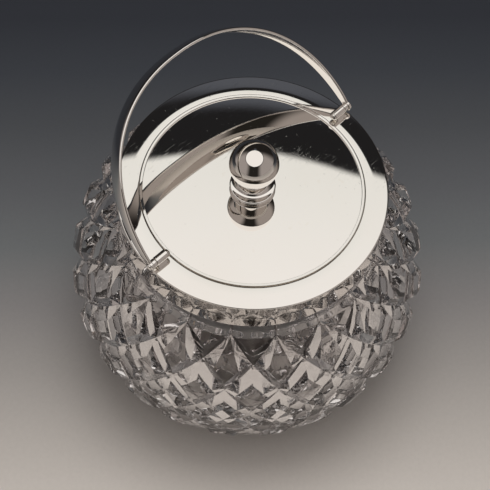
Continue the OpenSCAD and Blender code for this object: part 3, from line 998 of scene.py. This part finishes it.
@dataclass
class Finial:
    """The turned foot and ball, and the stud, washer and nut that hold them."""

    plate: Material
    brass: Material
    lid_z: float = 129.7
    plate_t: float = 0.7
    ball_r: float = 10.3
    ball_h: float = 17.2
    foot_r: float = 9.7
    rim_h: float = 1.7
    ring_r: float = 6.7
    ring_h: float = 4.0
    rim_bead: float = 0.5
    ring_bead: float = 0.45
    undercut: float = 0.8
    neck_r: float = 4.4
    hole_r: float = 1.55
    stud_r: float = 1.5
    stud_grip: float = 5.0
    washer_r: float = 4.4
    washer_t: float = 0.8
    nut_af: float = 5.5
    nut_h: float = 2.4
    nut_chamfer: float = 0.25
    nut_break: float = 0.05
    stud_end: float = 1.0
    thread_pitch: float = 0.5
    thread_depth: float = 0.24

    @property
    def ball_flat_z(self) -> float:
        """Height where the ball is cut flat to sit on its neck."""
        return self.lid_z + self.ball_h - sqrt(self.ball_r ** 2 - self.neck_r ** 2)

    def ball(self) -> None:
        """Builds the ball with the blind hole for its stud."""
        low = -degrees(acos(self.neck_r / self.ball_r))
        top_of_hole = self.ball_flat_z + self.stud_grip
        outline = ([(0.0, top_of_hole), (self.hole_r, top_of_hole), (self.hole_r, self.ball_flat_z)]
                   + arc(0, self.lid_z + self.ball_h, self.ball_r, low, 90, 90)[:-1]
                   + [(0.0, self.lid_z + self.ball_h + self.ball_r)])
        spin("ball_knob", outline, self.plate, Body.LID, Slot.FINIAL, "finial_ball", steps=128)

    def foot(self) -> None:
        """Builds the foot: an undercut rim, a hollow flare, a small ring and the neck."""
        z, rim_bead, ring_bead = self.lid_z, self.rim_bead, self.ring_bead
        rim_in, ring_in = self.foot_r - rim_bead, self.ring_r - ring_bead
        low, high = self.rim_h + rim_bead, self.ring_h - ring_bead
        flare = [(mix(rim_in, ring_in, sin(a)), z + mix(low, high, 1 - cos(a)))
                 for a in (radians(6 * k) for k in range(1, 15))]
        neck_low = z + self.ring_h + ring_bead
        neck = [(self.neck_r + 0.35 * (1 - sin(a)), neck_low + 0.4 * (1 - cos(a)))
                for a in map(radians, (0, 20, 40, 60, 80, 90))]
        outline = ([(self.hole_r, z), (self.foot_r - self.undercut, z)]
                   + arc(rim_in, z + self.rim_h, rim_bead, -50, 90, 14) + flare
                   + arc(ring_in, z + self.ring_h, ring_bead, -90, 90, 14) + neck
                   + [(self.neck_r, self.ball_flat_z), (self.hole_r, self.ball_flat_z)])
        spin("knob_foot", outline, self.plate, Body.LID, Slot.FINIAL, "finial_foot", steps=128)

    def washer(self) -> None:
        """Builds the washer under the lid."""
        low = self.lid_z - self.plate_t - self.washer_t
        high = low + self.washer_t
        outline = filleted([(self.hole_r, low, 0.1), (self.washer_r, low, 0.2),
                            (self.washer_r, high, 0.1), (self.hole_r, high, 0.05)])
        spin("knob_washer", outline, self.brass, Body.LID, Slot.BRASS, "finial_washer", steps=96)

    def nut(self) -> None:
        """Builds the six-sided nut with its turned chamfers."""
        high = self.lid_z - self.plate_t - self.washer_t
        low = high - self.nut_h
        flat = self.nut_af / 2
        steps = 72

        def rim(z: float, limit: float) -> list[Spot]:
            """The nut's outline at a height, turned down to a radius.

            Args:
                z: The height.
                limit: The largest radius.

            Returns:
                The points.
            """
            ring = []
            for k in range(steps):
                a = tau * k / steps
                off = (a + pi / 6) % (pi / 3) - pi / 6
                r = min(flat / cos(off + pi / 6 if off < 0 else off - pi / 6), limit)
                ring.append(about_z(r, z, a))
            return ring
        tip = flat / cos(pi / 6)
        bore_low, bore_high = ([about_z(self.hole_r, z, tau * k / steps) for k in range(steps)]
                               for z in (low, high))
        rings = [bore_low, rim(low, flat), rim(low + self.nut_chamfer, tip),
                 rim(high - self.nut_break, tip), rim(high, tip - self.nut_break), bore_high]
        piece = make_piece("knob_nut", [loft(rings, closed=True)], sharp=20.0)
        settle(piece, self.brass, Body.LID, Slot.BRASS, "finial_nut")

    def stud(self) -> None:
        """Builds the stud with its thread cut round it."""
        low = self.lid_z - self.plate_t - self.washer_t - self.nut_h - self.stud_end
        high = self.ball_flat_z + self.stud_grip
        steps, rows = 36, int((high - low) / self.thread_pitch * 6)
        rings = []
        for i in range(rows + 1):
            z = mix(low, high, i / rows)
            taper = min(1.0, (z - low) / 0.3 + 0.5, (high - z) / 0.3 + 0.5)
            ring = []
            for k in range(steps):
                wave = abs(((z / self.thread_pitch - k / steps) % 1) * 2 - 1)
                r = (self.stud_r - self.thread_depth * wave) * taper
                ring.append(about_z(r, z, tau * k / steps))
            rings.append(ring)
        points, faces = loft(rings)
        points += [(0.0, 0.0, low), (0.0, 0.0, high)]
        last = len(points)
        faces += [[last - 2, (k + 1) % steps, k] for k in range(steps)]
        faces += [[last - 1, rows * steps + k, rows * steps + (k + 1) % steps] for k in range(steps)]
        piece = make_piece("knob_stud", [(points, faces)], sharp=50.0)
        settle(piece, self.brass, Body.LID, Slot.BRASS, "finial_stud")

    def build(self) -> None:
        """Builds the finial and what holds it."""
        self.ball()
        self.foot()
        self.washer()
        self.nut()
        self.stud()


# ---- Handle and pivots ----
@dataclass
class Handle:
    """The swing handle and its pivots, drawn upright over them and then leaned back."""

    plate: Material
    barrel_plate: Material
    pivot_z: float = 133.2
    flange_z: float = 130.0
    half: float = 57.6
    reach: float = 62.9
    lean: float = 49.5
    arch_power: float = 2.2
    crown_w: float = 10.6
    end_w: float = 4.0
    strap_t: float = 1.2
    strap_edge: float = 0.42
    dome: float = 0.8
    swell: float = 0.7
    eye_r: float = 2.35
    eye_boss: float = 0.15
    pin_r: float = 0.95
    barrel_r: float = 1.9
    barrel_in_x: float = 49.0
    barrel_out_x: float = 54.95
    saddle_in_x: float = 50.2
    saddle_w: float = 4.4
    head_x: float = 47.8
    head_len: float = 1.1
    head_r: float = 1.7
    rivet_r: float = 1.5
    rivet_h: float = 0.9
    spacer_x: float = 55.05
    spacer_r: float = 1.8
    steps: int = 180
    bunching: float = 0.6

    @property
    def eye_in_x(self) -> float:
        """Where the eye's inner face stands."""
        return self.half - self.strap_t / 2 - self.eye_boss

    @property
    def eye_out_x(self) -> float:
        """Where the eye's outer face stands."""
        return self.half + self.strap_t / 2 + self.eye_boss

    def leaned(self, x: float, y: float, z: float) -> Spot:
        """Turns a point drawn over the pivots to where the handle rests."""
        a = radians(self.lean)
        return (x, y * cos(a) + z * sin(a), self.pivot_z + z * cos(a) - y * sin(a))

    def along_x(self, side: Side) -> Callable[[float, float, float], Spot]:
        """A placing for pieces turned about one pivot's line."""
        return lambda r, h, a: (side.value * h, r * cos(a), self.pivot_z + r * sin(a))

    def arch(self, t: float) -> Vector:
        """The strap's middle line at angle t degrees, as (x, reach)."""
        c, s = cos(radians(t)), sin(radians(t))
        power = 2 / self.arch_power
        return Vector((-self.half * copysign(abs(c) ** power, c), self.reach * abs(s) ** power))

    def section(self, t: float) -> list[Spot]:
        """The outline of the strap at t, rounded along its two edges.

        Args:
            t: The angle in degrees, from one eye to the other.

        Returns:
            The points of the outline.
        """
        here = self.arch(t)
        ahead = self.arch(min(180.0, t + 0.25)) - self.arch(max(0.0, t - 0.25))
        out = Vector((-ahead.y, ahead.x)).normalized()
        share = min(1.0, max(0.0, (here.y - self.eye_r) / (self.reach - self.eye_r))) ** self.swell
        width, dome = mix(self.end_w, self.crown_w, share), self.dome * share
        half_t, edge = self.strap_t / 2, self.strap_edge
        ring: list[Spot] = []
        for face in (1, -1):
            for k in range(13):
                s = face * (k / 6 - 1)
                flat_half = width / 2 - edge
                off = face * half_t + dome * (1 - (s * flat_half * 2 / width) ** 2)
                ring.append((s * flat_half, off))
            rim_dome = dome * (1 - (flat_half * 2 / width) ** 2)
            for k in range(1, 6):
                a = pi * k / 6
                ring.append((face * (flat_half + edge * sin(a)), rim_dome + face * half_t * cos(a)))
        return [self.leaned(here.x + out.x * off, y, here.y + out.y * off) for y, off in ring]

    def strap(self) -> None:
        """Builds the strap with the eyes at its ends."""
        rings = []
        for i in range(self.steps + 1):
            share = i / self.steps
            rings.append(self.section(180 * (share - sin(tau * share) / tau * self.bunching)))
        shapes = [loft(rings, capped=True)]
        outline = filleted([(self.pin_r, self.eye_in_x, 0.1), (self.eye_r, self.eye_in_x, 0.35),
                            (self.eye_r, self.eye_out_x, 0.35), (self.pin_r, self.eye_out_x, 0.1)])
        for side in Side:
            shapes.append(turned(outline, self.along_x(side), 96))
        piece = make_piece("swing_strap", shapes, sharp=38.0)
        settle(piece, self.plate, Body.HANDLE, Slot.HANDLE, "handle_strap")

    def pin(self, side: Side) -> None:
        """Builds a pin with its round head inside and its riveted head outside.

        Args:
            side: The side that it stands on.
        """
        dome = [(self.head_r * sin(a), self.head_x + self.head_len * (1 - cos(a)))
                for a in (radians(9 * k) for k in range(1, 11))]
        rivet = [(self.rivet_r * cos(a), self.eye_out_x + self.rivet_h * sin(a))
                 for a in map(radians, range(0, 90, 6))]
        outline = ([(0.0, self.head_x)] + dome
                   + [(self.pin_r, self.head_x + self.head_len),
                      (self.pin_r, self.eye_out_x)] + rivet + [(0.0, self.eye_out_x + self.rivet_h)])
        spin(f"pivot_pin_with_heads_{side.word()}", outline, self.plate, Body.HANDLE, Slot.PIVOT,
             f"pivot_pin_{side.word()}", steps=64, place=self.along_x(side))

    def spacer(self, side: Side) -> None:
        """Builds the collar on the pin between barrel and strap.

        Args:
            side: The side that it stands on.
        """
        outline = filleted([(self.pin_r, self.spacer_x, 0.1), (self.spacer_r, self.spacer_x, 0.3),
                            (self.spacer_r, self.eye_in_x, 0.1), (self.pin_r, self.eye_in_x, 0.05)])
        spin(f"pin_collar_{side.word()}", outline, self.plate, Body.HANDLE, Slot.PIVOT,
             f"pivot_spacer_{side.word()}", steps=64, place=self.along_x(side))

    def barrel(self, side: Side) -> None:
        """Builds a barrel and the tapered saddle under it, soldered to the flange.

        Args:
            side: The side that it stands on.
        """
        bore = self.pin_r + 0.05
        outline = filleted([(bore, self.barrel_in_x, 0.12), (self.barrel_r, self.barrel_in_x, 0.3),
                            (self.barrel_r, self.barrel_out_x, 0.3), (bore, self.barrel_out_x, 0.12)])
        shapes = [turned(outline, self.along_x(side), 64)]
        top_w = 1.4 * self.barrel_r
        drop = self.flange_z - self.pivot_z
        section: list[Point] = []
        for sign in (-1, 1):
            for k in range(7):
                share = k / 6 if sign < 0 else 1 - k / 6
                waist = mix(self.saddle_w, top_w, sin(share * pi / 2)) / 2
                section.append((sign * waist, mix(drop, -self.barrel_r / 2, share)))
        ends = ((self.saddle_in_x, 0.82), (self.saddle_in_x + 0.2, 1.0), (self.barrel_out_x - 0.2, 1.0),
                (self.barrel_out_x, 0.9))
        shapes.append(loft([[(side.value * x, y * scale, self.pivot_z + z) for y, z in section]
                            for x, scale in ends], capped=True))
        piece = make_piece(f"hinge_barrel_{side.word()}", shapes)
        settle(piece, self.barrel_plate, Body.JAR, Slot.PIVOT, f"pivot_barrel_{side.word()}")

    def build(self) -> None:
        """Builds the strap and both pivots."""
        self.strap()
        for side in Side:
            self.pin(side)
            self.spacer(side)
            self.barrel(side)


# ---- Studio ----
@dataclass
class Studio:
    """A floor whose colour is painted light falloff, dark at the back and pale at the front, under one
    broad soft light overhead, with dim surroundings.

    Angles are in degrees, lamp and camera in metres, and each stop of the floor's painted light falloff
    is (millimetres along `paper_axis`, colour), where the first two are its ends.
    """

    ahead: Spot = (-0.743, -0.669, 0.0)
    aside: Spot = (0.669, -0.743, 0.0)
    paper_axis: Spot = (-0.672, -0.741, 0.0)
    light_tilt: float = 5.5
    light_in: float = 39.1
    light_out: float = 39.45
    bow_w: float = 0.13
    bow_h: float = 0.008
    light_far: Colour = (0.79, 0.785, 0.745)
    light_near: Colour = (0.915, 0.878, 0.845)
    frame: Colour = (0.014, 0.0135, 0.014)
    frame_out: float = 41.4
    glow: Colour = (0.085, 0.09, 0.105)
    glow_at: float = 52.0
    glow_in: float = 2.0
    glow_out: float = 7.0
    far_wall: Colour = (0.015, 0.013, 0.012)
    near_wall: Colour = (0.018, 0.016, 0.014)
    side_wall: Colour = (0.32, 0.283, 0.265)
    lamp_size: float = 0.4
    lamp_power: float = 2.2
    lamp_colour: Colour = (1.0, 0.95, 0.9)
    lamp_h: float = 0.85
    lamp_ahead: float = -0.05
    lamp_aim: float = 0.02
    camera_at: Spot = (-0.1981, -0.1765, 0.5537)
    camera_axes: tuple[Spot, Spot, Spot] = (
        (0.7132, -0.7003, 0.0343), (0.6001, 0.6349, 0.4868), (-0.3626, -0.3266, 0.8729))
    lens: float = 87.28
    floor_r: float = 4.0
    floor_z: float = -0.3
    # Stops of painted light falloff: the floor's colour darkens and cools towards the back, standing in
    # for light that fades there.
    painted_falloff_paper: tuple[tuple[float, Colour], ...] = (
        (-200, (0.037, 0.042, 0.054)), (93, (0.74, 0.705, 0.67)), (-160, (0.055, 0.0625, 0.0765)),
        (-120, (0.087, 0.0945, 0.107)), (-80, (0.134, 0.143, 0.157)), (-45, (0.188, 0.203, 0.214)),
        (-10, (0.295, 0.29, 0.295)), (25, (0.43, 0.415, 0.405)), (60, (0.59, 0.565, 0.54)))

    def world(self) -> None:
        """Builds the world: a round soft light overhead in a dark frame, between paler side walls."""
        world = bpy.data.worlds.new("soft_studio")
        world.use_nodes = True
        bpy.context.scene.world = world
        s = Sheet(world.node_tree)
        world.node_tree.nodes.clear()
        where = s.add("ShaderNodeTexCoord")

        def along(axis: Spot) -> NodeSocket:
            """How far a direction points along an axis, from -1 to 1.

            Args:
                axis: The axis, a unit vector.

            Returns:
                The value.
            """
            dot = s.add("ShaderNodeVectorMath", operation="DOT_PRODUCT")
            s.join(where.outputs["Generated"], dot.inputs[0])
            dot.inputs[1].default_value = axis
            return dot.outputs["Value"]
        tilt = radians(self.light_tilt)
        up = along((self.ahead[0] * sin(tilt), self.ahead[1] * sin(tilt), cos(tilt)))
        across = s.maths("ABSOLUTE", along(self.aside))
        up = s.maths("SUBTRACT", up, s.ramp(across, 0.0, self.bow_w, 0.0, self.bow_h))
        near = along(self.ahead)
        wall = s.blend(s.ramp(near, -0.3, 0.3), (*self.far_wall, 1), (*self.near_wall, 1))
        beside = s.maths("MULTIPLY", s.ramp(across, 0.25, 0.6), s.ramp(near, -0.6, -0.1))
        wall = s.blend(beside, wall, (*self.side_wall, 1))
        inner, outer, dark = (cos(radians(a)) for a in (self.light_in, self.light_out, self.frame_out))
        back = radians(self.glow_at)
        spot = along((-self.ahead[0] * cos(back), -self.ahead[1] * cos(back), sin(back)))
        glow_out, glow_in = (cos(radians(a)) for a in (self.glow_out, self.glow_in))
        wall = s.blend(s.ramp(spot, glow_out, glow_in), wall, (*self.glow, 1))
        colour = s.blend(s.ramp(up, dark - 0.004, dark + 0.004), wall, (*self.frame, 1))
        light = s.blend(s.ramp(near, -0.6, -0.42), (*self.light_far, 1), (*self.light_near, 1))
        colour = s.blend(s.ramp(up, outer, inner), colour, light)
        shine = s.add("ShaderNodeBackground", Strength=1.0)
        out = s.add("ShaderNodeOutputWorld")
        s.join(colour, shine.inputs["Color"])
        s.join(shine.outputs[0], out.inputs["Surface"])

    def floor(self) -> None:
        """Builds the round floor, whose colour is painted light falloff: dark at the back, pale at the
        front.
        """
        n = 96
        rings = [0.0, 0.1, 0.2, 0.4, 0.8, 1.6, self.floor_r]
        points = [(r * 1000 * cos(tau * k / n), r * 1000 * sin(tau * k / n), self.floor_z)
                  for r in rings[1:] for k in range(n)] + [(0.0, 0.0, self.floor_z)]
        faces = [[k, (k + 1) % n, len(points) - 1] for k in range(n)]
        faces += [[i * n + k, (i + 1) * n + k, (i + 1) * n + (k + 1) % n, i * n + (k + 1) % n]
                  for i in range(len(rings) - 2) for k in range(n)]
        floor = make_piece("studio_floor", [(points, faces)])
        if floor.data.polygons[0].normal.z < 0:
            floor.data.flip_normals()
        material, s, painted_falloff_paper, _ = new_material("floor_painted_falloff")
        where = s.add("ShaderNodeTexCoord")
        grain = s.noise(where.outputs["Object"], 500.0, 4.0, 0.6)
        reach = s.add("ShaderNodeVectorMath", operation="DOT_PRODUCT")
        s.join(where.outputs["Object"], reach.inputs[0])
        reach.inputs[1].default_value = self.paper_axis
        # This ramp paints light falloff into the floor's colour, darker towards the back.
        shade = s.add("ShaderNodeValToRGB")
        s.join(s.maths("MULTIPLY_ADD", reach.outputs["Value"], 1 / 0.3, 2 / 3), shade.inputs[0])
        stops = shade.color_ramp.elements
        for k, (mm, colour) in enumerate(self.painted_falloff_paper):
            place = (mm + 200) / 300
            stop = stops[k] if k < 2 else stops.new(place)
            stop.position, stop.color = place, (*colour, 1)
        speckle = s.maths("MULTIPLY", grain, 0.1)
        s.join(s.blend(speckle, shade.outputs["Color"], (0.0, 0.0, 0.0, 1)), painted_falloff_paper.inputs["Base Color"])
        painted_falloff_paper.inputs["Roughness"].default_value = 0.9
        painted_falloff_paper.inputs["Specular IOR Level"].default_value = 0.2
        floor.data.materials.append(material)

    def wash(self) -> None:
        """Adds a broad lamp overhead that lights the floor alone."""
        lamp = bpy.data.lights.new("floor_wash", "AREA")
        lamp.shape = "DISK"
        lamp.size = self.lamp_size
        lamp.energy = self.lamp_power
        lamp.color = self.lamp_colour
        holder = bpy.data.objects.new("floor_wash", lamp)
        bpy.context.scene.collection.objects.link(holder)
        ahead = Vector(self.paper_axis)
        holder.location = ahead * self.lamp_ahead + Vector((0, 0, self.lamp_h))
        aim = ahead * self.lamp_aim - holder.location
        holder.rotation_euler = aim.to_track_quat("-Z", "Y").to_euler()
        lit = bpy.data.collections.new("washed_floor")
        lit.objects.link(bpy.data.objects["studio_floor"])
        holder.light_linking.receiver_collection = lit

    def camera(self) -> None:
        """Puts the camera where the photograph was taken from."""
        lens = bpy.data.cameras.new("photo_camera")
        lens.sensor_width = 36.0
        lens.lens = self.lens
        lens.clip_start = 0.01
        lens.clip_end = 50.0
        holder = bpy.data.objects.new("photo_camera", lens)
        bpy.context.scene.collection.objects.link(holder)
        turn = Matrix([Vector(axis).normalized() for axis in self.camera_axes]).transposed().to_4x4()
        holder.matrix_world = Matrix.Translation(self.camera_at) @ turn
        bpy.context.scene.camera = holder

    def settings(self) -> None:
        """Sets how light is followed and shown."""
        scene = bpy.context.scene
        scene.view_settings.view_transform = "Standard"
        scene.view_settings.look = "None"
        scene.cycles.max_bounces = 24
        scene.cycles.transmission_bounces = 24
        scene.cycles.glossy_bounces = 12
        scene.cycles.transparent_max_bounces = 24
        scene.cycles.caustics_reflective = False
        scene.cycles.caustics_refractive = False
        scene.cycles.blur_glossy = 0.0

    def build(self) -> None:
        """Builds the studio."""
        self.camera()
        self.world()
        self.floor()
        self.wash()
        self.settings()


def main() -> None:
    """Builds the studio and every piece of the jar in order."""
    logging.basicConfig(level=logging.INFO, format="%(message)s")
    Studio().build()
    rubbed, tarnish = rubbed_group(), tarnish_group()
    flange_plate, lid_plate, knob_plate, strap_plate, collar_plate = (
        SilverPlate(f"plate_on_{place}").material(rubbed, tarnish)
        for place in ("flange", "lid", "knob", "strap", "collar"))
    # The ledge and throat sit under the flange and lid: their dark colour, bright and film alike, is
    # painted shade; their higher roughness is the plate's own.
    ledge_plate_painted_shade = SilverPlate("ledge_plate_with_painted_shade", bright=(0.3, 0.27, 0.235), film=(0.1, 0.085, 0.07),
                              tarnish=0.9, clean=0.14, worn=0.35).material(rubbed, tarnish)
    brass = SilverPlate("turned_brass", bright=(0.8, 0.62, 0.32), film=(0.45, 0.3, 0.14), tarnish=0.5,
                        clean=0.16, worn=0.35).material(rubbed, tarnish)
    GlassJar().build(CutGlass().material(rubbed))
    plaster = frame["nodes"]["bedding_plaster"]
    plaster.data.materials.clear()
    plaster.data.materials.append(SetPlaster().material())
    Mount(flange_plate, collar_plate, ledge_plate_painted_shade).build()
    Lid(lid_plate).build()
    Finial(knob_plate, brass).build()
    Handle(strap_plate, flange_plate).build()


if __name__ == "__main__":
    main()
